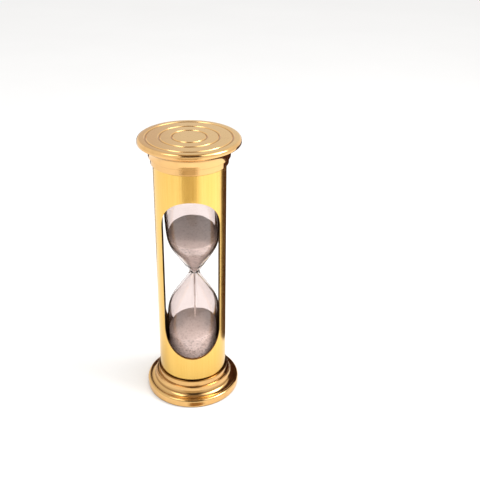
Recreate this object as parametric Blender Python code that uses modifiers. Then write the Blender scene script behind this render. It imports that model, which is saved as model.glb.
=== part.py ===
"""Sleeve sand timer: a glass vial in a windowed brass tube, held between two turned, screwed-on caps.

Metres, +Z up. The origin is the centre of the bottom cap's flat end face.
"""
import math

import bmesh
import bpy

MM = 0.001
GAP = 0.3 * MM                      # clearance between neighbouring pieces
MERGE = 0.005 * MM                  # merge distance of turned shapes

# Whole object
HEIGHT = 128.0 * MM                 # end face to end face
TURNED_STEPS = 36                   # flats around a turned piece

# Tube
TUBE_STEPS = 48
TUBE_RADIUS = 15.875 * MM           # half of 1 1/4 inch
TUBE_WALL = 1.275 * MM
TUBE_BORE = TUBE_RADIUS - TUBE_WALL
WINDOW_HALF_WIDTH = 12.75 * MM
WINDOW_LOW = 23.4 * MM              # height of the window's lowest point
WINDOW_HIGH = 104.2 * MM
WINDOW_END = 14.0 * MM              # length of each rounded end
WINDOW_SQUARENESS = 0.60            # 0.552 makes each rounded end an ellipse, more makes it fuller

# Caps, measured from the end face inwards
CAP_RADIUS = 22.25 * MM
CAP_SHOULDER = 11.3 * MM            # height of the shoulder that the tube stands on
CAP_FLOOR = 4.0 * MM                # thickness of brass under the recess
RECESS_RADIUS = 12.9 * MM
SPIGOT_RADIUS = 14.0 * MM
SPIGOT_END = 16.3 * MM
BOTTOM_RIM = 4.0 * MM               # thickness of the foot's rim
TOP_RIM = 2.5 * MM                  # thickness of the top cap's rim
BAND_RADIUS = 16.9 * MM             # narrow band under the shoulder
BAND_LOW = 8.2 * MM
COVE_NECK_RADIUS = 17.7 * MM        # the cove runs from here out to the rim
COVE_NECK = 7.7 * MM
EDGE_RELIEF = 0.4 * MM              # small chamfers of the turned edges
GROOVE_RADII = (18.6 * MM, 12.8 * MM, 7.5 * MM)
GROOVE_HALF_WIDTH = 0.6 * MM
GROOVE_DEPTH = 0.45 * MM

# Screw thread on each spigot
THREAD_PITCH = 1.0 * MM
THREAD_TURNS = 3.6
THREAD_START = 12.2 * MM            # height of the first turn above the end face
THREAD_HALF_WIDTH = 0.35 * MM
THREAD_STEPS = 30                   # points in one turn

# Glass vial, measured from its neck along the axis
NECK_HEIGHT = 62.4 * MM
NECK_RADIUS = 2.5 * MM
BORE_RADIUS = 0.9 * MM
WAIST_ROUNDING = 0.8 * MM           # radial depth over which the two cones blend at the neck
BULB_RADIUS = 12.2 * MM
GLASS_WALL = 0.8 * MM
NECK_REACH = 3.0 * MM               # how far the thick glass of the neck runs up each cone
CONE_ANGLE = math.radians(33.5)
SHOULDER_POWER = 9                  # how tightly the cone turns into the bulb's straight side
VIAL_HALF_LENGTH = 55.5 * MM
VIAL_END_LENGTH = 13.0 * MM         # length of each rounded end
FILL_HOLE_RADIUS = 2.3 * MM

# Sand
UPPER_SAND_TOP = 83.0 * MM          # height of the surface on the axis
UPPER_SAND_TILT = math.radians(15.0)
LOWER_SAND_TOP = 37.5 * MM          # height of the heap's top on the axis
LOWER_SAND_TILT_X = math.radians(8.0)
LOWER_SAND_TILT_Y = math.radians(-6.0)
HEAP_CURVE = 18.0 * MM              # radius of curvature of the heap
STREAM_RADIUS = 0.35 * MM

# Cork seats
CORK_RADIUS = RECESS_RADIUS - GAP
CORK_RIM = 12.0 * MM                # height of the rim above the cap's end face


def clear_scene():
    """Remove every object that is already in the file."""
    for old in list(bpy.data.objects):
        bpy.data.objects.remove(old, do_unlink=True)


def new_collection(name):
    collection = bpy.data.collections.new(name)
    bpy.context.scene.collection.children.link(collection)
    return collection


def new_material(name, colour, roughness, metallic=0.0, transmission=0.0):
    material = bpy.data.materials.new(name)
    material.use_nodes = True
    shader = material.node_tree.nodes["Principled BSDF"]
    shader.inputs["Base Color"].default_value = (*colour, 1.0)
    shader.inputs["Roughness"].default_value = roughness
    shader.inputs["Metallic"].default_value = metallic
    shader.inputs["Transmission Weight"].default_value = transmission
    material.diffuse_color = (*colour, 1.0)
    return material


def add_object(name, data, collection, material=None):
    obj = bpy.data.objects.new(name, data)
    collection.objects.link(obj)
    if material:
        data.materials.append(material)
    return obj


def as_cutter(obj):
    """Mark an object as a construction shape that is not a piece of the timer."""
    obj.hide_render = True
    obj.display_type = 'WIRE'


def turned(name, profile, collection, material=None, steps=TURNED_STEPS):
    """Turn a profile of (radius, height) points about Z; it runs down the piece's outer side."""
    mesh = bpy.data.meshes.new(name)
    points = [(radius, 0.0, height) for radius, height in profile]
    edges = [(i, i + 1) for i in range(len(points) - 1)]
    mesh.from_pydata(points, edges, [])
    obj = add_object(name, mesh, collection, material)
    screw = obj.modifiers.new("turn", 'SCREW')
    screw.axis = 'Z'
    screw.steps = steps
    screw.render_steps = steps
    screw.use_merge_vertices = True
    screw.merge_threshold = MERGE
    screw.use_smooth_shade = True
    return obj


def boolean(obj, operation, tool):
    modifier = obj.modifiers.new(operation.lower(), 'BOOLEAN')
    modifier.operation = operation
    modifier.solver = 'EXACT'
    modifier.object = tool


def cove_arc(inner, outer, top, bottom, count=6):
    """A hollow quarter ellipse in the profile plane, from (inner, top) round to (outer, bottom)."""
    points = []
    for i in range(count):
        angle = math.pi / 2.0 * i / (count - 1)
        points.append((outer - (outer - inner) * math.cos(angle), top - (top - bottom) * math.sin(angle)))
    return points


def mesh_from_curve(name, curve, collection):
    """Turn a curve object into a closed mesh object at the same place, and remove the curve."""
    bpy.context.view_layer.update()
    evaluated = curve.evaluated_get(bpy.context.evaluated_depsgraph_get())
    mesh = bpy.data.meshes.new_from_object(evaluated)
    placed = curve.matrix_world.copy()
    bpy.data.objects.remove(curve, do_unlink=True)
    shape = bmesh.new()
    shape.from_mesh(mesh)
    bmesh.ops.remove_doubles(shape, verts=shape.verts, dist=MERGE)
    bmesh.ops.recalc_face_normals(shape, faces=shape.faces)
    shape.to_mesh(mesh)
    shape.free()
    obj = add_object(name, mesh, collection)
    obj.matrix_world = placed
    return obj


def into_collection(obj, collection):
    """Move an object that an operator has just made into a collection."""
    for owner in list(obj.users_collection):
        owner.objects.unlink(obj)
    collection.objects.link(obj)


# ---------------------------------------------------------------- caps

def cap_profile(rim):
    """Outline of a cap that lies on its end face: recess, spigot, shoulder, mouldings, rim, face grooves."""
    profile = [
        (0.0, CAP_FLOOR),
        (RECESS_RADIUS, CAP_FLOOR),
        (RECESS_RADIUS, SPIGOT_END),
        (SPIGOT_RADIUS - EDGE_RELIEF, SPIGOT_END),
        (SPIGOT_RADIUS, SPIGOT_END - EDGE_RELIEF),
        (SPIGOT_RADIUS, CAP_SHOULDER),
        (BAND_RADIUS - EDGE_RELIEF, CAP_SHOULDER),
        (BAND_RADIUS, CAP_SHOULDER - EDGE_RELIEF),
        (BAND_RADIUS, BAND_LOW),
        (COVE_NECK_RADIUS - 0.2 * MM, BAND_LOW - 0.2 * MM),
    ]
    profile += cove_arc(COVE_NECK_RADIUS, CAP_RADIUS - 0.9 * MM, COVE_NECK, rim + 0.2 * MM)
    profile += [
        (CAP_RADIUS - 0.8 * MM, rim),
        (CAP_RADIUS - 0.1 * MM, rim - EDGE_RELIEF),
        (CAP_RADIUS, rim - 0.9 * MM),
        (CAP_RADIUS, 0.35 * MM),
        (CAP_RADIUS - 0.35 * MM, 0.0),
    ]
    for radius in GROOVE_RADII:
        profile += [
            (radius + GROOVE_HALF_WIDTH, 0.0),
            (radius, GROOVE_DEPTH),
            (radius - GROOVE_HALF_WIDTH, 0.0),
        ]
    profile.append((0.0, 0.0))
    return profile


def make_thread(name, cutters):
    """A right-hand helical ridge with a V section, as a closed mesh."""
    curve = bpy.data.curves.new(name + "_path", 'CURVE')
    curve.dimensions = '3D'
    curve.bevel_depth = THREAD_HALF_WIDTH
    curve.bevel_resolution = 0
    curve.use_fill_caps = True
    count = int(THREAD_TURNS * THREAD_STEPS) + 1
    spline = curve.splines.new('POLY')
    spline.points.add(count - 1)
    for i in range(count):
        turn = i / THREAD_STEPS
        angle = 2.0 * math.pi * turn
        x = SPIGOT_RADIUS * math.cos(angle)
        y = SPIGOT_RADIUS * math.sin(angle)
        spline.points[i].co = (x, y, THREAD_START + THREAD_PITCH * turn, 1.0)
    path = add_object(name + "_path", curve, cutters)
    thread = mesh_from_curve(name, path, cutters)
    as_cutter(thread)
    return thread


def make_cap(name, rim, parts, cutters, material):
    cap = turned(name, cap_profile(rim), parts, material)
    thread = make_thread(name + "_thread", cutters)
    thread.parent = cap
    boolean(cap, 'UNION', thread)
    return cap


# ---------------------------------------------------------------- tube

def window_cutter(cutters):
    """A long round-ended bar that runs through the tube from front to back."""
    half_width = WINDOW_HALF_WIDTH
    low = WINDOW_LOW + WINDOW_END
    high = WINDOW_HIGH - WINDOW_END
    curve = bpy.data.curves.new("window_outline", 'CURVE')
    curve.dimensions = '2D'
    curve.fill_mode = 'BOTH'
    curve.extrude = TUBE_RADIUS + 2.0 * MM
    curve.resolution_u = 8
    outline = [
        ((-half_width, low), (0.0, -1.0), WINDOW_END),
        ((0.0, WINDOW_LOW), (1.0, 0.0), half_width),
        ((half_width, low), (0.0, 1.0), WINDOW_END),
        ((half_width, high), (0.0, 1.0), WINDOW_END),
        ((0.0, WINDOW_HIGH), (-1.0, 0.0), half_width),
        ((-half_width, high), (0.0, -1.0), WINDOW_END),
    ]
    spline = curve.splines.new('BEZIER')
    spline.bezier_points.add(len(outline) - 1)
    spline.use_cyclic_u = True
    for point, ((x, z), (run_x, run_z), reach) in zip(spline.bezier_points, outline):
        point.co = (x, z, 0.0)
        step_x = run_x * reach * WINDOW_SQUARENESS
        step_z = run_z * reach * WINDOW_SQUARENESS
        point.handle_left = (x - step_x, z - step_z, 0.0)
        point.handle_right = (x + step_x, z + step_z, 0.0)
    path = add_object("window_outline", curve, cutters)
    path.rotation_euler = (math.pi / 2.0, 0.0, 0.0)
    cutter = mesh_from_curve("window_cutter", path, cutters)
    as_cutter(cutter)
    return cutter


def make_sleeve(parts, cutters, material):
    low = CAP_SHOULDER + GAP
    high = HEIGHT - CAP_SHOULDER - GAP
    profile = [
        (TUBE_BORE, low),
        (TUBE_BORE, high),
        (TUBE_RADIUS, high),
        (TUBE_RADIUS, low),
        (TUBE_BORE, low),
    ]
    sleeve = turned("sleeve", profile, parts, material, steps=TUBE_STEPS)
    boolean(sleeve, 'DIFFERENCE', window_cutter(cutters))
    return sleeve


# ---------------------------------------------------------------- vial and sand

def vial_radius(distance, inset):
    """Radius of the vial at a distance from its neck, on a surface that lies inset inside its outside."""
    flare = math.hypot(WAIST_ROUNDING, distance * math.tan(CONE_ANGLE)) - WAIST_ROUNDING
    neck_share = 1.0 / (1.0 + (distance / NECK_REACH) ** 2)
    neck_inset = inset * (NECK_RADIUS - BORE_RADIUS) / GLASS_WALL
    cone_inset = inset / math.cos(CONE_ANGLE)
    cone = NECK_RADIUS + flare - neck_inset * neck_share - cone_inset * (1.0 - neck_share)
    side = BULB_RADIUS - inset
    body = (cone ** -SHOULDER_POWER + side ** -SHOULDER_POWER) ** (-1.0 / SHOULDER_POWER)
    past = max(0.0, distance - (VIAL_HALF_LENGTH - VIAL_END_LENGTH))
    share = past / (VIAL_END_LENGTH - inset)
    return body * math.sqrt(max(0.0, 1.0 - share * share))


def vial_distances(inset, end_points=4):
    """Distances from the neck at which the vial's outline has points, neck first, tip last."""
    cone_end = 22.0 * MM
    cone_points = 7
    end_start = VIAL_HALF_LENGTH - VIAL_END_LENGTH
    distances = [cone_end * i / cone_points for i in range(cone_points + 1)]
    for i in range(end_points + 1):
        angle = math.pi / 2.0 * i / end_points
        distances.append(end_start + (VIAL_END_LENGTH - inset) * math.sin(angle))
    return distances


def bulb_points(side, inset, end_points=4):
    """Outline of one bulb, from the neck to the tip; side is 1 for the upper bulb and -1 for the lower."""
    points = []
    for distance in vial_distances(inset, end_points):
        points.append((vial_radius(distance, inset), NECK_HEIGHT + side * distance))
    return points


def make_vial(parts, material):
    inner_low = bulb_points(-1, GLASS_WALL)
    inner_high = bulb_points(1, GLASS_WALL)
    outer_low = bulb_points(-1, 0.0)
    outer_high = bulb_points(1, 0.0)
    # the filling hole stands in for the upper bulb's tip
    inner_high[-1] = (FILL_HOLE_RADIUS, inner_high[-1][1])
    outer_high[-1] = (FILL_HOLE_RADIUS, outer_high[-1][1])
    profile = inner_low[:0:-1] + inner_high + outer_high[::-1] + outer_low[1:]
    return turned("glass_vial", profile, parts, material)


def make_plug(parts, material):
    tip = NECK_HEIGHT + VIAL_HALF_LENGTH
    wide = FILL_HOLE_RADIUS - GAP
    narrow = wide - 0.3 * MM
    depth = GLASS_WALL + 1.2 * MM
    profile = [(0.0, tip), (wide, tip), (narrow, tip - depth), (0.0, tip - depth)]
    return turned("fill_plug", profile, parts, material, steps=24)


def make_upper_sand(parts, cutters, material):
    """The upper bulb's sand: a turned fill of the bulb with its top cut off by a tilted plane."""
    inset = GLASS_WALL + GAP
    top = UPPER_SAND_TOP + 8.0 * MM
    wall = [point for point in bulb_points(1, inset) if point[1] < top]
    profile = [(0.0, top), (BULB_RADIUS - inset, top)] + wall[::-1] + [(0.0, NECK_HEIGHT)]
    sand = turned("upper_sand", profile, parts, material)
    size = 4.0 * CAP_RADIUS
    bpy.ops.mesh.primitive_cube_add(size=size)
    cutter = bpy.context.object
    cutter.name = "upper_sand_cutter"
    into_collection(cutter, cutters)
    half = size / 2.0
    tilt = UPPER_SAND_TILT
    cutter.rotation_euler = (tilt, 0.0, 0.0)
    cutter.location = (0.0, -half * math.sin(tilt), UPPER_SAND_TOP + half * math.cos(tilt))
    as_cutter(cutter)
    boolean(sand, 'DIFFERENCE', cutter)
    return sand


def make_lower_sand(parts, cutters, material):
    """The lower bulb's sand: a turned fill of the bulb under a tilted, rounded heap."""
    inset = GLASS_WALL + GAP
    top = LOWER_SAND_TOP + 6.0 * MM
    wall = [point for point in bulb_points(-1, inset) if point[1] < top]
    radius = vial_radius(NECK_HEIGHT - top, inset)
    sand = turned("lower_sand", [(0.0, top), (radius, top)] + wall, parts, material)
    reach = 15.0 * MM
    skirt = LOWER_SAND_TOP
    rings = 6
    profile = []
    for i in range(rings + 1):
        r = reach * i / rings
        profile.append((r, math.sqrt(HEAP_CURVE ** 2 - r * r) - HEAP_CURVE))
    profile += [(reach, -skirt), (0.0, -skirt)]
    heap = turned("heap_shape", profile, cutters)
    heap.location = (0.0, 0.0, LOWER_SAND_TOP)
    heap.rotation_euler = (LOWER_SAND_TILT_X, LOWER_SAND_TILT_Y, 0.0)
    as_cutter(heap)
    boolean(sand, 'INTERSECT', heap)
    return sand


def make_stream(parts, material):
    """The running sand, from just under the neck to just above the heap."""
    low = LOWER_SAND_TOP + 2.0 * GAP
    high = NECK_HEIGHT - GAP
    bpy.ops.mesh.primitive_cylinder_add(vertices=12, radius=STREAM_RADIUS, depth=high - low)
    stream = bpy.context.object
    stream.name = "sand_stream"
    into_collection(stream, parts)
    stream.data.materials.append(material)
    stream.location = (0.0, 0.0, (low + high) / 2.0)
    return stream


# ---------------------------------------------------------------- cork seats

def make_axis(name, height, parts):
    """An empty on the timer's axis that carries a cap and its seat, with +Z pointing into the timer."""
    axis = add_object(name, None, parts)
    axis.empty_display_size = 10.0 * MM
    axis.location = (0.0, 0.0, height)
    if height > 0.0:
        axis.rotation_euler = (math.pi, 0.0, 0.0)
    return axis


def make_cork_seat(name, end_depth, parts, material):
    """A dished cork seat on the recess floor; end_depth is how far the vial's tip is from the end face."""
    dish_floor = end_depth - GAP
    flat_radius = FILL_HOLE_RADIUS + GAP
    dish = [(0.0, dish_floor), (flat_radius, dish_floor)]
    points = 5
    for i in range(1, points + 1):
        rise = (CORK_RIM - dish_floor) * i / points
        radius = vial_radius(VIAL_HALF_LENGTH + GAP - rise, -GAP)
        dish.append((max(radius, flat_radius), dish_floor + rise))
    low = CAP_FLOOR + GAP
    profile = dish + [(CORK_RADIUS, CORK_RIM), (CORK_RADIUS, low), (0.0, low)]
    return turned(name, profile, parts, material)


def main():
    clear_scene()
    parts = new_collection("hourglass")
    cutters = new_collection("hourglass_cutters")
    brass = new_material("polished_brass", (0.83, 0.58, 0.25), 0.18, metallic=1.0)
    satin = new_material("brushed_brass", (0.85, 0.62, 0.22), 0.32, metallic=1.0)
    glass = new_material("clear_glass", (0.95, 0.96, 0.96), 0.02, transmission=1.0)
    resin = new_material("plug_resin", (0.80, 0.76, 0.66), 0.45)
    sand = new_material("pale_sand", (0.66, 0.56, 0.53), 0.95)
    cork = new_material("cork", (0.45, 0.30, 0.18), 0.9)

    make_sleeve(parts, cutters, satin)
    make_vial(parts, glass)
    make_plug(parts, resin)
    make_upper_sand(parts, cutters, sand)
    make_stream(parts, sand)
    make_lower_sand(parts, cutters, sand)
    ends = (
        ("bottom", 0.0, BOTTOM_RIM, NECK_HEIGHT - VIAL_HALF_LENGTH),
        ("top", HEIGHT, TOP_RIM, HEIGHT - NECK_HEIGHT - VIAL_HALF_LENGTH),
    )
    for end, height, rim, vial_depth in ends:
        axis = make_axis(end + "_axis", height, parts)
        make_cap(end + "_cap", rim, parts, cutters, brass).parent = axis
        make_cork_seat(end + "_cork_seat", vial_depth, parts, cork).parent = axis


main()
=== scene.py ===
"""Looks of the brass sleeve sand timer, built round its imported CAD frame. Metres, +Z up."""
import math

import bmesh
import bpy
from mathutils import Matrix, Vector, noise
from mathutils.geometry import interpolate_bezier


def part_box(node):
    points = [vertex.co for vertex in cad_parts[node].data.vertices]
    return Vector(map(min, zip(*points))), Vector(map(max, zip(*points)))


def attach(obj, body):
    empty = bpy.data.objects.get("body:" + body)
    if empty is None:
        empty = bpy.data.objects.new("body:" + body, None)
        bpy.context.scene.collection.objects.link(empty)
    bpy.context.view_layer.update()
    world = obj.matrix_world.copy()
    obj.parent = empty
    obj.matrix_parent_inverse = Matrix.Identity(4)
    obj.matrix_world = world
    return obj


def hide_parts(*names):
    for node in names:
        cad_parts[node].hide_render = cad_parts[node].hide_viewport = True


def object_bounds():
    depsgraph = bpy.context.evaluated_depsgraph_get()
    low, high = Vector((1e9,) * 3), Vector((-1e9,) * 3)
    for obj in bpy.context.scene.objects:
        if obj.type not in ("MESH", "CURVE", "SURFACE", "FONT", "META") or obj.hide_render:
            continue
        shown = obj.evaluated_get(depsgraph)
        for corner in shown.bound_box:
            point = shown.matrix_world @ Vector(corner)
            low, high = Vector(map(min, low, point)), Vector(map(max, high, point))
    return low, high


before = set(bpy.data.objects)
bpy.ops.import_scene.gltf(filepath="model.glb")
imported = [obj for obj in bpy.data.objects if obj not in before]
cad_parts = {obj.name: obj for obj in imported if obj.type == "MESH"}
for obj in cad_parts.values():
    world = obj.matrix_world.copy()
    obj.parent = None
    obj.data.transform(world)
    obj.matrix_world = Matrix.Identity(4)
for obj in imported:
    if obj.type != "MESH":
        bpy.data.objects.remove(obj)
cad_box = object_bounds()

MM = 0.001
TINY = 1e-7
LATHE_STEPS = 192                   # facets round a turned piece
ARC_STEPS = 4                       # facets in a small rounded edge

# Sizes that the CAD boxes give
HEIGHT = cad_box[1].z
TUBE_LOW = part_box("sleeve")[0].z
TUBE_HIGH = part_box("sleeve")[1].z
TUBE_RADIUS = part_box("sleeve")[1].x
CAP_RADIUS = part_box("bottom_cap")[1].x
SPIGOT_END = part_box("bottom_cap")[1].z
VIAL_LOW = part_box("glass_vial")[0].z
VIAL_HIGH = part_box("glass_vial")[1].z
BULB_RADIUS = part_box("glass_vial")[1].x
NECK_HEIGHT = (VIAL_LOW + VIAL_HIGH) / 2.0
VIAL_HALF_LENGTH = (VIAL_HIGH - VIAL_LOW) / 2.0
CORK_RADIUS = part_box("bottom_cork_seat")[1].x
CORK_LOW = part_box("bottom_cork_seat")[0].z
CORK_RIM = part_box("bottom_cork_seat")[1].z

# Tube and its windows
TUBE_BORE = TUBE_RADIUS - 1.275 * MM
TUBE_EDGE = 0.18 * MM               # rounding of every cut edge
WINDOW_HALF_WIDTH = 12.75 * MM
WINDOW_LOW = 23.4 * MM
WINDOW_HIGH = 104.2 * MM
WINDOW_END = 14.0 * MM
WINDOW_SQUARENESS = 0.60

# Caps, measured from the end face inwards
CAP_FLOOR = 4.0 * MM
CAP_SHOULDER = 11.3 * MM
RECESS_RADIUS = 12.9 * MM
SPIGOT_RADIUS = 14.0 * MM
BAND_RADIUS = 16.9 * MM
BAND_LOW = 8.2 * MM
COVE_NECK_RADIUS = 17.7 * MM        # the cove runs from here out to the rim
COVE_NECK = 7.9 * MM
COVE_FOOT = 20.95 * MM
GROOVE_RADII = (18.6 * MM, 12.8 * MM, 7.5 * MM)
GROOVE_HALF_WIDTH = 0.60 * MM
GROOVE_DEPTH = 0.45 * MM
THREAD_PITCH = 1.0 * MM
THREAD_DEPTH = 0.32 * MM
THREAD_ROWS = 12                    # mesh rows in one pitch

# Vial, measured from its neck along the axis
NECK_RADIUS = 2.5 * MM
BORE_RADIUS = 0.9 * MM
WAIST_ROUNDING = 0.8 * MM
GLASS_WALL = 0.8 * MM
NECK_REACH = 3.0 * MM
CONE_ANGLE = math.radians(33.5)
SHOULDER_POWER = 9
VIAL_END_LENGTH = 13.0 * MM
FILL_HOLE_RADIUS = 2.3 * MM
FILL_HOLE_DROP = 0.22 * MM          # the rounded end is this much lower at the hole's rim than at its tip
NECK_DRIFT = 1.35 * MM              # how far the blown neck stands off the axis, towards +X

# Sand
SAND_CLEARANCE = 0.08 * MM
UPPER_SAND_TOP = 83.0 * MM
UPPER_SAND_TILT = math.radians(15.0)
LOWER_SAND_TOP = 37.5 * MM
LOWER_SAND_TILT_X = math.radians(8.0)
LOWER_SAND_TILT_Y = math.radians(-6.0)
HEAP_CURVE = 18.0 * MM
STREAM_RADIUS = 0.40 * MM

# Heights and places between which the brass takes painted shade or changes tone
TUBE_SHADE_LOW = 12.0 * MM
TUBE_SHADE_HIGH = 32.0 * MM
RIM_TONE_LOW = 3.6 * MM
RIM_TONE_HIGH = 4.4 * MM
SEAM_LOW = 10.7 * MM
SEAM_HIGH = 11.1 * MM
FOOT_TONE_LOW = 12.0 * MM
FOOT_TONE_HIGH = 14.0 * MM
LEFT_BROWN_LOW = -15.0 * MM
LEFT_BROWN_HIGH = -3.0 * MM

# Camera: its place in metres, its angles, and its lens and sensor in millimetres
CAMERA_PLACE = (0.0, -0.29840, 0.23581)
CAMERA_PITCH = math.radians(28.017)
CAMERA_TURN = math.radians(4.270)
CAMERA_ROLL = math.radians(1.048)
CAMERA_LENS = 55.05
CAMERA_SENSOR = 36.0


# ---------------------------------------------------------------- materials

def add_node(tree, kind, inputs=None, **settings):
    """A shader node; inputs holds a plain value or another node's output for each socket."""
    made = tree.nodes.new(kind)
    for name, value in settings.items():
        setattr(made, name, value)
    for name, value in (inputs or {}).items():
        if isinstance(value, bpy.types.NodeSocket):
            tree.links.new(value, made.inputs[name])
        else:
            made.inputs[name].default_value = value
    return made


def new_material(name):
    """(material, tree, principled shader, object coordinates)"""
    material = bpy.data.materials.new(name)
    material.use_nodes = True
    tree = material.node_tree
    shader = tree.nodes["Principled BSDF"]
    coordinates = add_node(tree, "ShaderNodeTexCoord").outputs["Object"]
    return material, tree, shader, coordinates


def stretched(tree, coordinates, scale):
    """Coordinates scaled along each axis; a small scale draws the pattern out along it."""
    scaled = add_node(tree, "ShaderNodeVectorMath", {0: coordinates, 1: scale}, operation='MULTIPLY')
    return scaled.outputs[0]


def pattern(tree, vector, scale, detail=4.0, roughness=0.6):
    """Noise from 0 to 1."""
    inputs = {"Vector": vector, "Scale": scale, "Detail": detail, "Roughness": roughness}
    return add_node(tree, "ShaderNodeTexNoise", inputs).outputs["Fac"]


def remap(tree, value, low, high, to_low, to_high):
    inputs = {"Value": value, "From Min": low, "From Max": high, "To Min": to_low, "To Max": to_high}
    return add_node(tree, "ShaderNodeMapRange", inputs).outputs["Result"]


def mixed(tree, factor, first, second, blend='MIX'):
    node = add_node(tree, "ShaderNodeMix", data_type='RGBA', blend_type=blend)
    for socket, value in ((node.inputs[0], factor), (node.inputs[6], first), (node.inputs[7], second)):
        if isinstance(value, bpy.types.NodeSocket):
            tree.links.new(value, socket)
        elif isinstance(value, tuple):
            socket.default_value = (*value, 1.0)
        else:
            socket.default_value = value
    return node.outputs[2]


def maths(tree, operation, first, second=0.0):
    return add_node(tree, "ShaderNodeMath", {0: first, 1: second}, operation=operation).outputs[0]


def bump(tree, height, distance, strength=1.0, under=None):
    inputs = {"Height": height, "Distance": distance, "Strength": strength}
    if under is not None:
        inputs["Normal"] = under
    return add_node(tree, "ShaderNodeBump", inputs).outputs["Normal"]


def radius_and_height(tree, coordinates):
    """Distance from the timer's axis and height along it, as two sockets."""
    split = add_node(tree, "ShaderNodeSeparateXYZ", {0: coordinates})
    flat = add_node(tree, "ShaderNodeCombineXYZ", {"X": split.outputs["X"], "Y": split.outputs["Y"]})
    length = add_node(tree, "ShaderNodeVectorMath", {0: flat.outputs[0]}, operation='LENGTH')
    return length.outputs["Value"], split.outputs["Z"]


def upward(tree):
    """How far the surface faces up: 1 for level, 0 for upright, -1 for facing down."""
    normal = add_node(tree, "ShaderNodeNewGeometry").outputs["Normal"]
    return add_node(tree, "ShaderNodeSeparateXYZ", {0: normal}).outputs["Z"]


def crevices(tree, distance):
    """1 on open surfaces, towards 0 in grooves and corners."""
    return add_node(tree, "ShaderNodeAmbientOcclusion", {"Distance": distance}, samples=8).outputs["AO"]


def tube_brass():
    """Drawn tube, brushed along its length and lacquered."""
    material, tree, shader, coordinates = new_material("tube_brass")
    lines = pattern(tree, stretched(tree, coordinates, (1.0, 1.0, 0.015)), 1700.0, 5.0, 0.75)
    scratches = pattern(tree, stretched(tree, coordinates, (1.0, 1.0, 0.06)), 9000.0, 2.0, 0.8)
    clouds = pattern(tree, coordinates, 70.0, 5.0)
    lightness = remap(tree, lines, 0.35, 0.65, 0.0, 1.0)
    tone = mixed(tree, lightness, (0.86, 0.525, 0.125), (0.97, 0.645, 0.185))
    tone = mixed(tree, remap(tree, clouds, 0.35, 0.75, 0.0, 0.35), tone, (0.88, 0.54, 0.16))
    height = radius_and_height(tree, coordinates)[1]
    # painted shade: the tube's brass grows darker towards its foot
    foot_shade = remap(tree, height, TUBE_SHADE_LOW, TUBE_SHADE_HIGH, 0.50, 0.0)
    tone = mixed(tree, foot_shade, tone, (0.52, 0.33, 0.08))
    # painted shade in corners and creases, from ambient occlusion
    crevice_shade_mix = remap(tree, crevices(tree, 0.9 * MM), 0.52, 0.86, 0.0, 1.0)
    colour = mixed(tree, crevice_shade_mix, (0.20, 0.09, 0.02), tone)
    # painted shade on the cut faces that face up or down
    cut_face_shade = remap(tree, maths(tree, 'ABSOLUTE', upward(tree)), 0.20, 0.55, 0.0, 0.9)
    colour = mixed(tree, cut_face_shade, colour, (0.22, 0.10, 0.03))
    brushed = remap(tree, lines, 0.3, 0.7, 0.15, 0.22)
    rough = maths(tree, 'ADD', brushed, remap(tree, clouds, 0.3, 0.7, 0.0, 0.05))
    tree.links.new(colour, shader.inputs["Base Color"])
    tree.links.new(rough, shader.inputs["Roughness"])
    relief = bump(tree, scratches, 0.006 * MM, 0.5, bump(tree, lines, 0.012 * MM, 0.6))
    tree.links.new(relief, shader.inputs["Normal"])
    around = add_node(tree, "ShaderNodeTangent", direction_type='RADIAL', axis='Z').outputs[0]
    tree.links.new(around, shader.inputs["Tangent"])
    shader.inputs["Metallic"].default_value = 1.0
    shader.inputs["Anisotropic"].default_value = 0.4
    return material


def bore_brass():
    """Inside of the tube: never polished and dull, with painted shade that makes its brass nearly black."""
    material, tree, shader, coordinates = new_material("bore_brass")
    clouds = pattern(tree, coordinates, 160.0, 8.0, 0.65)
    draw_marks = pattern(tree, stretched(tree, coordinates, (1.0, 1.0, 0.04)), 1500.0, 4.0)
    cloudy = remap(tree, clouds, 0.3, 0.7, 0.0, 1.0)
    # painted shade: the bore's brass is painted nearly black
    colour = mixed(tree, cloudy, (0.07, 0.032, 0.012), (0.14, 0.070, 0.025))
    colour = mixed(tree, remap(tree, draw_marks, 0.4, 0.7, 0.0, 0.5), colour, (0.05, 0.022, 0.008))
    tree.links.new(colour, shader.inputs["Base Color"])
    tree.links.new(remap(tree, clouds, 0.3, 0.7, 0.60, 0.75), shader.inputs["Roughness"])
    tree.links.new(bump(tree, draw_marks, 0.02 * MM, 0.6), shader.inputs["Normal"])
    shader.inputs["Metallic"].default_value = 0.6
    shader.inputs["Specular IOR Level"].default_value = 0.15
    return material


def near_grooves(tree, radius, inner, outer):
    """1 within inner of a ring groove's centre line, 0 from outer on."""
    near = 0.0
    for groove_radius in GROOVE_RADII:
        offset = maths(tree, 'ABSOLUTE', maths(tree, 'SUBTRACT', radius, groove_radius))
        near = maths(tree, 'MAXIMUM', near, remap(tree, offset, inner, outer, 1.0, 0.0))
    return near


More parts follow.
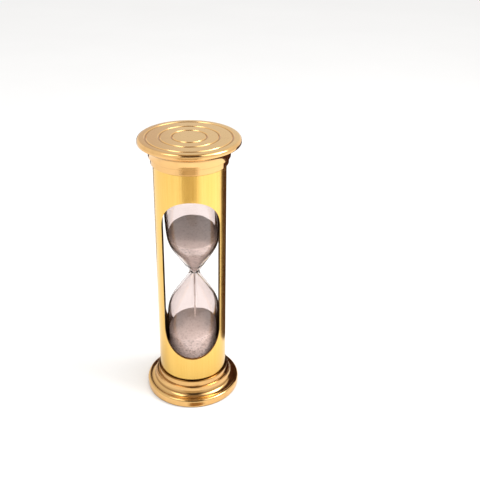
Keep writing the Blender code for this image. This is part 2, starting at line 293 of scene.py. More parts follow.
def cap_brass():
    """Turned and polished mouldings, with a satin, finely turned end face."""
    material, tree, shader, coordinates = new_material("cap_brass")
    radius, height = radius_and_height(tree, coordinates)
    along = add_node(tree, "ShaderNodeCombineXYZ", {"X": radius, "Y": height}).outputs[0]
    turning = pattern(tree, along, 5200.0, 3.0, 0.7)
    clouds = pattern(tree, coordinates, 90.0, 6.0)
    smudges = pattern(tree, coordinates, 150.0, 3.0, 0.5)
    specks = pattern(tree, coordinates, 2600.0, 3.0, 0.8)
    level = maths(tree, 'ABSOLUTE', upward(tree))
    on_end_face = remap(tree, level, 0.90, 0.985, 0.0, 1.0)

    # brass of the mouldings and of the end face, which is browner towards its left side
    tone = mixed(tree, remap(tree, clouds, 0.3, 0.7, 0.0, 1.0), (0.84, 0.505, 0.195), (0.90, 0.555, 0.235))
    tone = mixed(tree, on_end_face, tone, (0.72, 0.465, 0.185))
    across = add_node(tree, "ShaderNodeSeparateXYZ", {0: coordinates}).outputs["X"]
    browner_left = remap(tree, across, LEFT_BROWN_LOW, LEFT_BROWN_HIGH, 0.8, 0.0)
    tone = mixed(tree, maths(tree, 'MULTIPLY', on_end_face, browner_left), tone, (0.57, 0.315, 0.115))
    tone = mixed(tree, remap(tree, turning, 0.45, 0.75, 0.0, 0.25), tone, (0.60, 0.33, 0.12))
    tone = mixed(tree, remap(tree, smudges, 0.58, 0.75, 0.0, 0.35), tone, (0.55, 0.33, 0.13))

    # painted shade on the foot cap: its side is darker than the top cap's, its rim darker, and darkest in
    # the seam under the tube
    above_rim = remap(tree, height, RIM_TONE_LOW, RIM_TONE_HIGH, 0.0, 1.0)
    below_tube = remap(tree, height, FOOT_TONE_LOW, FOOT_TONE_HIGH, 1.0, 0.0)
    foot_side = maths(tree, 'MULTIPLY', above_rim, below_tube)
    tone = mixed(tree, maths(tree, 'MULTIPLY', foot_side, 0.28), tone, (0.30, 0.18, 0.06))
    # painted shade on the foot cap's rim
    foot_rim_shade = remap(tree, height, RIM_TONE_LOW, RIM_TONE_HIGH, 0.22, 0.0)
    tone = mixed(tree, foot_rim_shade, tone, (0.42, 0.29, 0.09))
    # painted shade in the seam under the tube
    seam_shade = maths(tree, 'MULTIPLY', foot_side, remap(tree, height, SEAM_LOW, SEAM_HIGH, 0.0, 0.8))
    tone = mixed(tree, seam_shade, tone, (0.22, 0.10, 0.02))

    # painted shade in corners and grooves, from ambient occlusion
    crevice_shade_mix = remap(tree, crevices(tree, 1.0 * MM), 0.50, 0.84, 0.0, 1.0)
    tone = mixed(tree, crevice_shade_mix, (0.20, 0.085, 0.02), tone)
    # painted dark reflection along the floors of the end-face grooves
    in_end_face = remap(tree, level, 0.3, 0.6, 0.0, 1.0)
    groove_dark_reflection = maths(tree, 'MULTIPLY', near_grooves(tree, radius, 0.10 * MM, 0.42 * MM), in_end_face)
    colour = mixed(tree, maths(tree, 'MULTIPLY', groove_dark_reflection, 0.85), tone, (0.34, 0.17, 0.05))

    polished = remap(tree, clouds, 0.3, 0.75, 0.07, 0.13)
    satin = remap(tree, turning, 0.3, 0.7, 0.17, 0.25)
    in_groove = maths(tree, 'MULTIPLY', near_grooves(tree, radius, 0.5 * MM, 0.8 * MM), in_end_face)
    dull = maths(tree, 'MAXIMUM', on_end_face, in_groove)
    blend = add_node(tree, "ShaderNodeMix", {0: dull, 2: polished, 3: satin}, data_type='FLOAT')
    tree.links.new(colour, shader.inputs["Base Color"])
    tree.links.new(blend.outputs[0], shader.inputs["Roughness"])
    relief = bump(tree, specks, 0.004 * MM, 0.4, bump(tree, turning, 0.010 * MM, 0.5))
    tree.links.new(relief, shader.inputs["Normal"])
    shader.inputs["Metallic"].default_value = 1.0
    return material


def vial_glass():
    """Clear blown glass with faint waves and a trace of dust. Lamps shine through it."""
    material, tree, shader, coordinates = new_material("vial_glass")
    waves = pattern(tree, stretched(tree, coordinates, (1.0, 1.0, 0.5)), 180.0, 2.0)
    dust = pattern(tree, coordinates, 900.0, 6.0, 0.75)
    tree.links.new(remap(tree, dust, 0.55, 0.8, 0.0, 0.06), shader.inputs["Roughness"])
    tree.links.new(bump(tree, waves, 0.05 * MM, 0.5), shader.inputs["Normal"])
    dusty = remap(tree, dust, 0.5, 0.8, 0.0, 1.0)
    tone = mixed(tree, dusty, (0.925, 0.855, 0.84), (0.90, 0.825, 0.81))
    tree.links.new(tone, shader.inputs["Base Color"])
    shader.inputs["IOR"].default_value = 1.5
    shader.inputs["Transmission Weight"].default_value = 1.0
    lamp_side = add_node(tree, "ShaderNodeBsdfTransparent")
    lamp_side.inputs["Color"].default_value = (0.97, 0.95, 0.94, 1.0)
    is_shadow = add_node(tree, "ShaderNodeLightPath").outputs["Is Shadow Ray"]
    choices = {0: is_shadow, 1: shader.outputs[0], 2: lamp_side.outputs[0]}
    both = add_node(tree, "ShaderNodeMixShader", choices)
    tree.links.new(both.outputs[0], tree.nodes["Material Output"].inputs["Surface"])
    return material


def fine_sand():
    """Fine pinkish-white sand with a few dark grains and soft greyer drifts, with painted shade on its free
    surface.
    """
    material, tree, shader, coordinates = new_material("fine_sand")
    grains = add_node(tree, "ShaderNodeTexVoronoi", {"Vector": coordinates, "Scale": 2000.0})
    grain_tone = add_node(tree, "ShaderNodeSeparateColor", {0: grains.outputs["Color"]}).outputs[0]
    drifts = pattern(tree, coordinates, 260.0, 6.0, 0.7)
    mottle = pattern(tree, coordinates, 800.0, 4.0, 0.9)
    drifted = remap(tree, drifts, 0.35, 0.65, 0.0, 1.0)
    tone = mixed(tree, drifted, (0.83, 0.715, 0.665), (0.98, 0.875, 0.825))
    tone = mixed(tree, remap(tree, mottle, 0.49, 0.64, 0.0, 0.50), tone, (0.46, 0.38, 0.35))
    tone = mixed(tree, remap(tree, grain_tone, 0.73, 0.90, 0.0, 0.60), tone, (0.34, 0.26, 0.23))
    tone = mixed(tree, remap(tree, grain_tone, 0.0, 0.30, 0.5, 0.0), tone, (0.95, 0.88, 0.85))
    # painted shade: surfaces that face up are darker
    tone = mixed(tree, remap(tree, upward(tree), 0.20, 0.88, 0.0, 0.68), tone, (0.40, 0.31, 0.27))
    tree.links.new(tone, shader.inputs["Base Color"])
    shader.inputs["Roughness"].default_value = 0.95
    shader.inputs["Specular IOR Level"].default_value = 0.25
    lumps = pattern(tree, coordinates, 1100.0, 5.0, 0.8)
    relief = bump(tree, grains.outputs["Distance"], 0.10 * MM, 0.7, bump(tree, lumps, 0.20 * MM, 0.7))
    tree.links.new(relief, shader.inputs["Normal"])
    return material


def natural_cork():
    material, tree, shader, coordinates = new_material("natural_cork")
    cells = add_node(tree, "ShaderNodeTexVoronoi", {"Vector": coordinates, "Scale": 900.0})
    flecks = pattern(tree, coordinates, 500.0, 7.0, 0.7)
    tone = mixed(tree, remap(tree, flecks, 0.35, 0.65, 0.0, 1.0), (0.30, 0.17, 0.08), (0.50, 0.33, 0.18))
    cell_walls = remap(tree, cells.outputs["Distance"], 0.0, 0.35, 0.5, 0.0)
    tone = mixed(tree, cell_walls, tone, (0.16, 0.08, 0.04))
    tree.links.new(tone, shader.inputs["Base Color"])
    shader.inputs["Roughness"].default_value = 0.88
    relief = bump(tree, cells.outputs["Distance"], 0.15 * MM, 0.7, bump(tree, flecks, 0.2 * MM, 0.5))
    tree.links.new(relief, shader.inputs["Normal"])
    return material


def plug_resin():
    material, tree, shader, coordinates = new_material("plug_resin")
    clouds = pattern(tree, coordinates, 700.0, 5.0)
    tone = mixed(tree, clouds, (0.52, 0.45, 0.33), (0.66, 0.60, 0.47))
    tree.links.new(tone, shader.inputs["Base Color"])
    tree.links.new(remap(tree, clouds, 0.3, 0.7, 0.35, 0.5), shader.inputs["Roughness"])
    tree.links.new(bump(tree, clouds, 0.05 * MM, 0.5), shader.inputs["Normal"])
    return material


# ---------------------------------------------------------------- shape helpers

def finished(name, shape, materials, sharp_angle=40.0):
    """Turns a bmesh into a shown object with smooth faces and true sharp edges."""
    bmesh.ops.recalc_face_normals(shape, faces=shape.faces)
    mesh = bpy.data.meshes.new(name)
    shape.to_mesh(mesh)
    shape.free()
    mesh.shade_smooth()
    mesh.set_sharp_from_angle(angle=math.radians(sharp_angle))
    for material in materials:
        mesh.materials.append(material)
    obj = bpy.data.objects.new(name, mesh)
    bpy.context.scene.collection.objects.link(obj)
    return obj


def rounded(corners):
    """Profile points from (radius, height, rounding) corners; a rounding of 0 keeps the corner sharp."""
    points = []
    for i, (radius, height, rounding) in enumerate(corners):
        here = Vector((radius, height))
        if rounding == 0.0:
            points.append(tuple(here))
            continue
        back = (Vector(corners[i - 1][:2]) - here).normalized()
        ahead = (Vector(corners[(i + 1) % len(corners)][:2]) - here).normalized()
        half = back.angle(ahead) / 2.0
        centre = here + (back + ahead).normalized() * rounding / math.sin(half)
        first = (here + back * rounding / math.tan(half)) - centre
        last = (here + ahead * rounding / math.tan(half)) - centre
        sweep = math.pi - 2.0 * half
        for step in range(ARC_STEPS + 1):
            share = step / ARC_STEPS
            arm = first * math.sin((1.0 - share) * sweep) + last * math.sin(share * sweep)
            points.append(tuple(centre + arm / math.sin(sweep)))
    return points


def bridge(shape, upper, lower):
    """Faces between two rings of a turned shape; a ring of one vertex is a pole."""
    count = max(len(upper), len(lower))
    for i in range(count):
        j = (i + 1) % count
        if len(upper) == 1:
            shape.faces.new((upper[0], lower[i], lower[j]))
        elif len(lower) == 1:
            shape.faces.new((upper[i], lower[0], upper[j]))
        else:
            shape.faces.new((upper[i], lower[i], lower[j], upper[j]))


def turned(name, profile, materials, steps=LATHE_STEPS, warp=None):
    """Solid turned about Z. A profile that starts and ends on the axis is open, any other is a loop.
    warp(radius, height, angle) gives each point's own radius and height."""
    shape = bmesh.new()
    rings = []
    for radius, height in profile:
        if radius < TINY:
            rings.append([shape.verts.new((0.0, 0.0, height))])
            continue
        ring = []
        for i in range(steps):
            angle = 2.0 * math.pi * i / steps
            r, z = warp(radius, height, angle) if warp else (radius, height)
            ring.append(shape.verts.new((r * math.cos(angle), r * math.sin(angle), z)))
        rings.append(ring)
    for upper, lower in zip(rings, rings[1:]):
        bridge(shape, upper, lower)
    if len(rings[0]) > 1 and len(rings[-1]) > 1:
        bridge(shape, rings[-1], rings[0])
    piece = finished(name, shape, materials)
    flat_bands = piece.modifiers.new("flat_bands", 'WEIGHTED_NORMAL')
    flat_bands.keep_sharp = True
    return piece


def flipped(obj, height):
    """Turns a piece built on its end face at z 0 over, onto the end face at height."""
    obj.data.transform(Matrix.Translation((0.0, 0.0, height)) @ Matrix.Rotation(math.pi, 4, 'X'))
    return obj


# ---------------------------------------------------------------- caps

def cove(inner, outer, top, bottom, count=24):
    """Hollow quarter ellipse from (inner, top) to (outer, bottom)."""
    points = []
    for i in range(count):
        angle = math.pi / 2.0 * i / (count - 1)
        points.append((outer - (outer - inner) * math.cos(angle), top - (top - bottom) * math.sin(angle)))
    return points


def groove(radius, count=8):
    """Section of a turned ring groove in the end face, from its outer edge to its inner edge."""
    points = []
    for i in range(count + 1):
        across = 1.0 - 2.0 * i / count
        points.append((radius + GROOVE_HALF_WIDTH * across, GROOVE_DEPTH * (1.0 - abs(across) ** 1.6)))
    return points


def thread(radius, height, angle):
    """Right-hand screw ridge on the spigot, fading out at both of its ends."""
    if abs(radius - SPIGOT_RADIUS) > TINY or not CAP_SHOULDER < height < SPIGOT_END:
        return radius, height
    phase = (height / THREAD_PITCH - angle / (2.0 * math.pi)) % 1.0
    ridge = max(0.0, 1.0 - abs(phase - 0.5) / 0.42)
    fade = min(1.0, (height - CAP_SHOULDER) / THREAD_PITCH, (SPIGOT_END - height) / THREAD_PITCH)
    return radius + THREAD_DEPTH * ridge * max(0.0, fade), height


def moulding(rim, rim_rounding):
    """Outline of a cap's visible side, from the shoulder to the end face."""
    side = rounded([
        (SPIGOT_RADIUS, CAP_SHOULDER, 0.0),
        (BAND_RADIUS - 0.03 * MM, CAP_SHOULDER, 0.4 * MM),
        (BAND_RADIUS, BAND_LOW, 0.12 * MM),
        (COVE_NECK_RADIUS, BAND_LOW - 0.05 * MM, 0.12 * MM),
        (COVE_NECK_RADIUS, COVE_NECK, 0.0),
    ])
    side += cove(COVE_NECK_RADIUS, COVE_FOOT, COVE_NECK - 0.05 * MM, rim + 0.25 * MM)
    side += rounded([
        (COVE_FOOT, rim + 0.25 * MM, 0.0),
        (COVE_FOOT, rim, 0.08 * MM),
        (CAP_RADIUS, rim - 0.15 * MM, rim_rounding[0]),
        (CAP_RADIUS, 0.0, rim_rounding[1]),
        (GROOVE_RADII[0] + 2.0 * GROOVE_HALF_WIDTH, 0.0, 0.0),
    ])[1:]
    for radius in GROOVE_RADII:
        side += groove(radius)
    side.append((0.0, 0.0))
    return side


def make_cap(name, rim, rim_rounding, material):
    inside = [(0.0, CAP_FLOOR)] + rounded([
        (RECESS_RADIUS, CAP_FLOOR, 0.0),
        (RECESS_RADIUS, SPIGOT_END, 0.15 * MM),
        (SPIGOT_RADIUS, SPIGOT_END, 0.3 * MM),
        (SPIGOT_RADIUS, CAP_SHOULDER, 0.0),
    ])[:-1]
    spigot_top = inside[-1][1]
    rows = int((spigot_top - CAP_SHOULDER) / THREAD_PITCH * THREAD_ROWS)
    for i in range(1, rows):
        inside.append((SPIGOT_RADIUS, spigot_top + (CAP_SHOULDER - spigot_top) * i / rows))
    return turned(name, inside + moulding(rim, rim_rounding), [material], warp=thread)


# ---------------------------------------------------------------- tube

def window_outline(points_per_end=14, side_points=24):
    """Right-hand half of the window's outline as (x, z), from its lowest point to its highest."""
    half_width = WINDOW_HALF_WIDTH
    low = WINDOW_LOW + WINDOW_END
    high = WINDOW_HIGH - WINDOW_END
    reach = WINDOW_END * WINDOW_SQUARENESS
    spread = half_width * WINDOW_SQUARENESS
    lower_end = interpolate_bezier((0.0, WINDOW_LOW), (spread, WINDOW_LOW), (half_width, low - reach),
                                   (half_width, low), points_per_end)
    upper_end = interpolate_bezier((half_width, high), (half_width, high + reach), (spread, WINDOW_HIGH),
                                   (0.0, WINDOW_HIGH), points_per_end)
    side = [(half_width, low + (high - low) * i / side_points) for i in range(1, side_points)]
    return [tuple(p) for p in lower_end] + side + [tuple(p) for p in upper_end]


def tube_rows(end_rows=7):
    """(x of the window's edge, height there, height half-way round) of each mesh row, bottom to top."""
    outline = window_outline()
    edges = [(0.0, TUBE_LOW + (WINDOW_LOW - TUBE_LOW) * i / end_rows) for i in range(end_rows)]
    edges += outline
    edges += [(0.0, WINDOW_HIGH + (TUBE_HIGH - WINDOW_HIGH) * (i + 1) / end_rows) for i in range(end_rows)]
    lengths = [0.0]
    for (x0, z0), (x1, z1) in zip(edges, edges[1:]):
        lengths.append(lengths[-1] + math.hypot(x1 - x0, z1 - z0))
    rows = []
    for (x, z), length in zip(edges, lengths):
        rows.append((x, z, TUBE_LOW + (TUBE_HIGH - TUBE_LOW) * length / lengths[-1]))
    return rows


def tube_point(radius, row, share, side):
    """Vertex on the cylinder of that radius; share runs from 0 at the front edge to 1 at the rear edge."""
    edge_x, edge_z, middle_z = row
    start = math.asin(edge_x / radius)
    angle = start + (math.pi - 2.0 * start) * share
    pull = abs(2.0 * share - 1.0) ** 1.5
    z = middle_z + (edge_z - middle_z) * pull
    return side * radius * math.sin(angle), -radius * math.cos(angle), z


def make_sleeve(outer_material, bore_material, columns=56):
    shape = bmesh.new()
    weight = shape.edges.layers.float.new("bevel_weight_edge")
    rows = tube_rows()
    for side in (1.0, -1.0):
        sheets = []
        for radius in (TUBE_RADIUS, TUBE_BORE):
            sheets.append([[shape.verts.new(tube_point(radius, row, i / columns, side))
                            for i in range(columns + 1)] for row in rows])
        outer, inner = sheets
        for k in range(len(rows) - 1):
            for i in range(columns):
                shape.faces.new((outer[k][i], outer[k][i + 1], outer[k + 1][i + 1], outer[k + 1][i]))
                back = shape.faces.new((inner[k][i], inner[k + 1][i], inner[k + 1][i + 1], inner[k][i + 1]))
                back.material_index = 1
            if rows[k][0] > 0.0 or rows[k + 1][0] > 0.0:
                for i in (0, columns):
                    shape.faces.new((outer[k][i], outer[k + 1][i], inner[k + 1][i], inner[k][i]))
                    for sheet in sheets:
                        shape.edges.get((sheet[k][i], sheet[k + 1][i]))[weight] = 1.0
        for k in (0, len(rows) - 1):
            for i in range(columns):
                shape.faces.new((outer[k][i], inner[k][i], inner[k][i + 1], outer[k][i + 1]))
                for sheet in sheets:
                    shape.edges.get((sheet[k][i], sheet[k][i + 1]))[weight] = 1.0
    bmesh.ops.remove_doubles(shape, verts=shape.verts, dist=0.001 * MM)
    sleeve = finished("sleeve_tube", shape, [outer_material, bore_material], 60.0)
    bevel = sleeve.modifiers.new("edges", 'BEVEL')
    bevel.limit_method = 'WEIGHT'
    bevel.width = TUBE_EDGE
    bevel.segments = 3
    bevel.harden_normals = True
    return sleeve


# ---------------------------------------------------------------- vial

def vial_radius(distance, inset):
    """Radius of the vial at a distance from its neck, on a surface that lies inset inside its outside."""
    flare = math.hypot(WAIST_ROUNDING, distance * math.tan(CONE_ANGLE)) - WAIST_ROUNDING
    neck_share = 1.0 / (1.0 + (distance / NECK_REACH) ** 2)
    neck_inset = inset * (NECK_RADIUS - BORE_RADIUS) / GLASS_WALL
    cone_inset = inset / math.cos(CONE_ANGLE)
    cone = NECK_RADIUS + flare - neck_inset * neck_share - cone_inset * (1.0 - neck_share)
    side = BULB_RADIUS - inset
    body = (cone ** -SHOULDER_POWER + side ** -SHOULDER_POWER) ** (-1.0 / SHOULDER_POWER)
    past = max(0.0, distance - (VIAL_HALF_LENGTH - VIAL_END_LENGTH))
    share = past / (VIAL_END_LENGTH - inset)
    return body * math.sqrt(max(0.0, 1.0 - share * share))


def drift(z):
    """How far the vial's axis stands off the tube's at a height: most at the neck, nothing at the tips."""
    along = (z - NECK_HEIGHT) / VIAL_HALF_LENGTH
    if abs(along) >= 1.0:
        return 0.0
    return NECK_DRIFT * (1.0 - along * along) ** 4 * (1.0 + 0.35 * along)


def follow_vial(obj):
    """Moves a piece that was built on the tube's axis onto the vial's own axis."""
    for vertex in obj.data.vertices:
        vertex.co.x += drift(vertex.co.z)
    return obj


def vial_distances(inset, cone_points=44, end_points=18):
    """Distances from the neck of the outline's points, neck first, tip last."""
    end_start = VIAL_HALF_LENGTH - VIAL_END_LENGTH
    distances = [end_start * (i / cone_points) ** 1.25 for i in range(cone_points)]
    for i in range(end_points + 1):
        angle = math.pi / 2.0 * i / end_points
        distances.append(end_start + (VIAL_END_LENGTH - inset) * math.sin(angle))
    return distances


def bulb_points(side, inset):
    return [(vial_radius(d, inset), NECK_HEIGHT + side * d) for d in vial_distances(inset)]


def make_vial(material):
    inner_low = bulb_points(-1, GLASS_WALL)
    inner_high = bulb_points(1, GLASS_WALL)
    outer_low = bulb_points(-1, 0.0)
    outer_high = bulb_points(1, 0.0)
    inner_tip = inner_high[-1][1]
    inner_high = [point for point in inner_high if point[0] > FILL_HOLE_RADIUS]
    inner_high.append((FILL_HOLE_RADIUS, inner_tip))
    outer_high = [point for point in outer_high if point[0] > FILL_HOLE_RADIUS]
    outer_high.append((FILL_HOLE_RADIUS, VIAL_HIGH - FILL_HOLE_DROP))
    inner_low[-1] = (0.0, inner_low[-1][1])
    outer_low[-1] = (0.0, outer_low[-1][1])
    profile = inner_low[:0:-1] + inner_high + outer_high[::-1] + outer_low[1:]
    return follow_vial(turned("vial_glass_body", profile, [material], steps=144))


def make_plug(material):
    tip = VIAL_HIGH - 0.5 * FILL_HOLE_DROP
    wide = FILL_HOLE_RADIUS - 0.05 * MM
    depth = GLASS_WALL + 1.2 * MM
    profile = [(0.0, tip)] + rounded([
        (wide, tip, 0.3 * MM),
        (wide - 0.25 * MM, tip - depth, 0.3 * MM),
        (0.0, tip - depth, 0.0),
    ])
    return turned("vial_plug", profile, [material], steps=48)


# ---------------------------------------------------------------- sand

def ripple(x, y, seed, size, height):
    """Smooth random relief of a sand surface."""
    return height * noise.noise(Vector((x / size, y / size, seed)))


def upper_surface(x, y):
    """Height of the upper sand: slumped to the front, with a shallow dimple over the neck."""
    tilt = y * math.tan(UPPER_SAND_TILT)
    dimple = -0.5 * MM * math.exp(-(x * x + y * y) / (5.0 * MM) ** 2)
    return UPPER_SAND_TOP + tilt + dimple + ripple(x, y, 3.1, 4.0 * MM, 0.25 * MM)


def lower_surface(x, y):
    """Height of the lower sand: a broad rounded heap that stands a little higher at the back right."""
    slope_y = math.tan(LOWER_SAND_TILT_X)
    slope_x = -math.tan(LOWER_SAND_TILT_Y)
    bulge = math.sqrt(max(0.0, HEAP_CURVE ** 2 - x * x - y * y)) - HEAP_CURVE
    return LOWER_SAND_TOP + slope_x * x + slope_y * y + bulge + ripple(x, y, 7.7, 5.0 * MM, 0.35 * MM)


def wall_contact(surface, side, angle):
    """(radius, height) at which a sand surface meets the bulb's inner wall in one direction."""
    inset = GLASS_WALL + SAND_CLEARANCE
    radius = BULB_RADIUS - inset
    for _ in range(30):
        height = surface(radius * math.cos(angle), radius * math.sin(angle))
        radius = 0.5 * (radius + vial_radius(side * (height - NECK_HEIGHT), inset))
    return radius, height


def make_sand(name, surface, side, material, steps=144, rows=40, rings=44):
    """Solid fill of one bulb under a free surface; side is 1 for the upper bulb and -1 for the lower."""
    inset = GLASS_WALL + SAND_CLEARANCE
    start = NECK_HEIGHT if side > 0 else VIAL_LOW + inset
    shape = bmesh.new()
    contacts = [wall_contact(surface, side, 2.0 * math.pi * i / steps) for i in range(steps)]
    columns = []
    for i, (edge_radius, edge_height) in enumerate(contacts):
        angle = 2.0 * math.pi * i / steps
        column = []
        for k in range(1, rows + 1):
            share = k / rows
            share = share if side > 0 else share * share * (2.0 - share)
            z = start + (edge_height - start) * share
            radius = vial_radius(side * (z - NECK_HEIGHT), inset)
            column.append((radius * math.cos(angle), radius * math.sin(angle), z))
        for k in range(1, rings):
            radius = edge_radius * (1.0 - k / rings)
            x = radius * math.cos(angle)
            y = radius * math.sin(angle)
            column.append((x, y, surface(x, y)))
        columns.append([shape.verts.new(point) for point in column])
    rings_of_verts = [list(ring) for ring in zip(*columns)]
    bottom = [shape.verts.new((0.0, 0.0, start))]
    top = [shape.verts.new((0.0, 0.0, surface(0.0, 0.0)))]
    chain = [bottom] + rings_of_verts + [top]
    for lower, upper in zip(chain, chain[1:]):
        bridge(shape, upper, lower)
    return follow_vial(finished(name, shape, [material], 80.0))


def make_stream(material, steps=16, rows=60):
    """The running sand: a thin, slightly uneven column from the neck down to the heap."""
    low = lower_surface(0.0, 0.0) - 0.05 * MM
    high = NECK_HEIGHT - 0.05 * MM
    profile = [(0.0, low)]
    for i in range(rows + 1):
        z = low + (high - low) * i / rows
        spread = 1.0 + 0.25 * noise.noise(Vector((0.0, 0.0, z / (1.3 * MM))))
        profile.append((STREAM_RADIUS * spread, z))
    profile.append((0.0, high))
    stream = turned("running_sand", profile, [material], steps=steps)
    for vertex in stream.data.vertices:
        vertex.co.x += drift(NECK_HEIGHT)
    return stream


# ---------------------------------------------------------------- cork seats

def make_cork_seat(name, tip_depth, material):
    """Dished cork seat that lies on the recess floor; the dish follows the vial's rounded end."""
    dish_floor = tip_depth - 0.05 * MM
    dish = [(0.0, dish_floor)]
    points = 20
    for i in range(1, points + 1):
        rise = (CORK_RIM - dish_floor) * (i / points) ** 2
        dish.append((vial_radius(VIAL_HALF_LENGTH - rise, -0.05 * MM), dish_floor + rise))
    outside = rounded([
        (CORK_RADIUS, CORK_RIM, 0.1 * MM),
        (CORK_RADIUS, CORK_LOW, 0.3 * MM),
        (0.0, CORK_LOW, 0.0),
    ])
    return turned(name, dish + outside, [material], steps=96)


# ---------------------------------------------------------------- camera, light and floor

def make_camera():
    """A 55 mm lens that looks down on the timer from the front, turned a little to the right."""
    level = Vector((math.sin(CAMERA_TURN), math.cos(CAMERA_TURN), 0.0))
    forward = level * math.cos(CAMERA_PITCH) - Vector((0.0, 0.0, math.sin(CAMERA_PITCH)))
    right = Vector((math.cos(CAMERA_TURN), -math.sin(CAMERA_TURN), 0.0))
    up = right.cross(forward)
    tilted_right = right * math.cos(CAMERA_ROLL) + up * math.sin(CAMERA_ROLL)
    tilted_up = up * math.cos(CAMERA_ROLL) - right * math.sin(CAMERA_ROLL)
    data = bpy.data.cameras.new("camera")
    data.sensor_width = CAMERA_SENSOR
    data.lens = CAMERA_LENS
    data.clip_start = 0.01
    data.clip_end = 20.0
    camera = bpy.data.objects.new("camera", data)
    bpy.context.scene.collection.objects.link(camera)
    axes = Matrix((tilted_right, tilted_up, -forward)).transposed().to_4x4()
    camera.matrix_world = Matrix.Translation(CAMERA_PLACE) @ axes
    bpy.context.scene.camera = camera


def flat_panel(name, width, depth, material):
    """A rectangle in the XY plane, centred on the origin."""
    shape = bmesh.new()
    corners = [(-width / 2, -depth / 2, 0.0), (width / 2, -depth / 2, 0.0),
               (width / 2, depth / 2, 0.0), (-width / 2, depth / 2, 0.0)]
    shape.faces.new([shape.verts.new(corner) for corner in corners])
    return finished(name, shape, [material])


def make_floor():
    material, tree, shader, coordinates = new_material("pale_floor")
    clouds = pattern(tree, coordinates, 6.0, 3.0)
    tone = mixed(tree, clouds, (0.86, 0.86, 0.86), (0.90, 0.90, 0.90))
    tree.links.new(tone, shader.inputs["Base Color"])
    shader.inputs["Roughness"].default_value = 0.9
    shader.inputs["Specular IOR Level"].default_value = 0.0
    flat_panel("floor", 8.0, 8.0, material)


def aimed(obj, position, target):
    obj.location = position
    obj.rotation_euler = (Vector(target) - Vector(position)).to_track_quat('-Z', 'Y').to_euler()


def make_softbox(name, position, size, energy, glossy=True):
    """A soft area light that points at the timer; without glossy, polished surfaces don't mirror it."""
    data = bpy.data.lights.new(name, 'AREA')
    data.shape = 'RECTANGLE'
    data.size, data.size_y = size
    data.energy = energy
    lamp = bpy.data.objects.new(name, data)
    lamp.visible_glossy = glossy
    bpy.context.scene.collection.objects.link(lamp)
    aimed(lamp, position, (0.0, 0.0, HEIGHT / 2.0))


def make_flag(name, position, target, size, colour, feather):
    """A studio flag that only polished surfaces see, faded over the feather at its left and right."""
    material, tree, shader, coordinates = new_material(name + "_cloth")
    weave = pattern(tree, coordinates, 400.0, 2.0)
    dark = tuple(0.6 * channel for channel in colour)
    tree.links.new(mixed(tree, weave, dark, colour), shader.inputs["Base Color"])
    shader.inputs["Roughness"].default_value = 1.0
    shader.inputs["Specular IOR Level"].default_value = 0.0
    across = add_node(tree, "ShaderNodeSeparateXYZ", {0: coordinates}).outputs["X"]
    edge = size[0] / 2.0
    cover = remap(tree, maths(tree, 'ABSOLUTE', across), edge - feather, edge, 1.0, 0.0)
    tree.links.new(cover, shader.inputs["Alpha"])
    flag = flat_panel(name, size[0], size[1], material)
    aimed(flag, position, target)
    for ray in ("camera", "diffuse", "transmission", "shadow"):
        setattr(flag, "visible_" + ray, False)


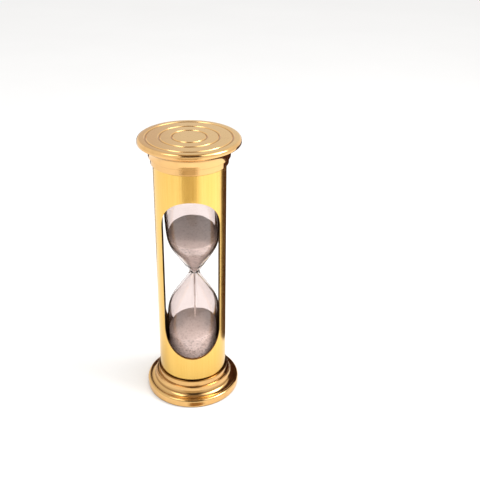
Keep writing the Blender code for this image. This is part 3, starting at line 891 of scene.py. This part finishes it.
def make_studio():
    """A white room with two large softboxes high up on either side of the camera, a small one low at the
    right, a fill from the front, and dark flags that shape the brass."""
    world = bpy.data.worlds.new("studio")
    world.use_nodes = True
    background = world.node_tree.nodes["Background"]
    background.inputs["Color"].default_value = (1.0, 0.99, 0.98, 1.0)
    background.inputs["Strength"].default_value = 0.97
    bpy.context.scene.world = world
    bpy.context.scene.view_settings.view_transform = 'Standard'

    make_softbox("left_softbox", (-0.33, -0.17, 0.80), (0.28, 0.45), 0.8)
    make_softbox("right_softbox", (0.52, -0.15, 0.80), (0.66, 0.40), 1.6)
    make_softbox("low_right_softbox", (0.29, -0.07, 0.34), (0.16, 0.16), 0.75)
    make_softbox("front_softbox", (0.10, -0.85, 0.62), (0.30, 0.30), 1.1, glossy=False)

    near_black = (0.035, 0.022, 0.015)
    shaded_ceiling = (0.40, 0.31, 0.22)
    dim_ground_ahead = (0.72, 0.64, 0.50)
    dark_wood = (0.09, 0.04, 0.03)
    table_shadow = (0.42, 0.28, 0.16)
    make_flag("camera_flag", (0.03, -0.40, 0.51), (0.03, 0.0, 0.51), (0.36, 0.54), near_black, 0.01)
    make_flag("ceiling_flag", (0.0, -0.08, 0.78), (0.0, -0.08, 0.0), (0.38, 0.66), shaded_ceiling, 0.02)
    # a pale sheet low in front of the timer, dimmer than the floor, that only polished surfaces see
    make_flag("low_front_flag", (-0.010, -0.190, 0.05), (-0.010, 0.0, 0.05), (0.23, 0.10), dim_ground_ahead, 0.06)
    make_flag("side_flag", (-0.0095, 0.0678, 0.060), (-0.0394, 0.0349, 0.060), (0.174, 0.119),
              dark_wood, 0.002)
    make_flag("foot_flag", (0.0015, -0.0252, 0.0005), (0.0015, -0.0252, 1.0), (0.011, 0.005),
              table_shadow, 0.003)


# ---------------------------------------------------------------- the timer

def place(piece, body, slot, *nodes):
    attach(piece, body)
    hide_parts(*nodes)


def make_timer():
    cap_metal = cap_brass()
    sand = fine_sand()
    cork = natural_cork()
    place(make_sleeve(tube_brass(), bore_brass()), "timer", "brushed_brass", "sleeve")
    place(make_vial(vial_glass()), "timer", "clear_glass", "glass_vial")
    place(make_plug(plug_resin()), "timer", "plug_resin", "fill_plug")
    place(make_sand("upper_sand_fill", upper_surface, 1, sand), "timer", "pale_sand", "upper_sand")
    place(make_sand("lower_sand_heap", lower_surface, -1, sand), "timer", "pale_sand", "lower_sand")
    place(make_stream(sand), "timer", "pale_sand", "sand_stream")
    bottom_cap = make_cap("bottom_cap_turned", 4.0 * MM, (1.2 * MM, 0.6 * MM), cap_metal)
    place(bottom_cap, "bottom_end", "polished_brass", "bottom_cap")
    top_cap = flipped(make_cap("top_cap_turned", 2.5 * MM, (0.5 * MM, 1.3 * MM), cap_metal), HEIGHT)
    place(top_cap, "top_end", "polished_brass", "top_cap")
    bottom_seat = make_cork_seat("bottom_cork_dish", VIAL_LOW, cork)
    place(bottom_seat, "bottom_seat", "cork", "bottom_cork_seat")
    top_seat = flipped(make_cork_seat("top_cork_dish", HEIGHT - VIAL_HIGH, cork), HEIGHT)
    place(top_seat, "top_seat", "cork", "top_cork_seat")


make_camera()
make_studio()
make_floor()
make_timer()
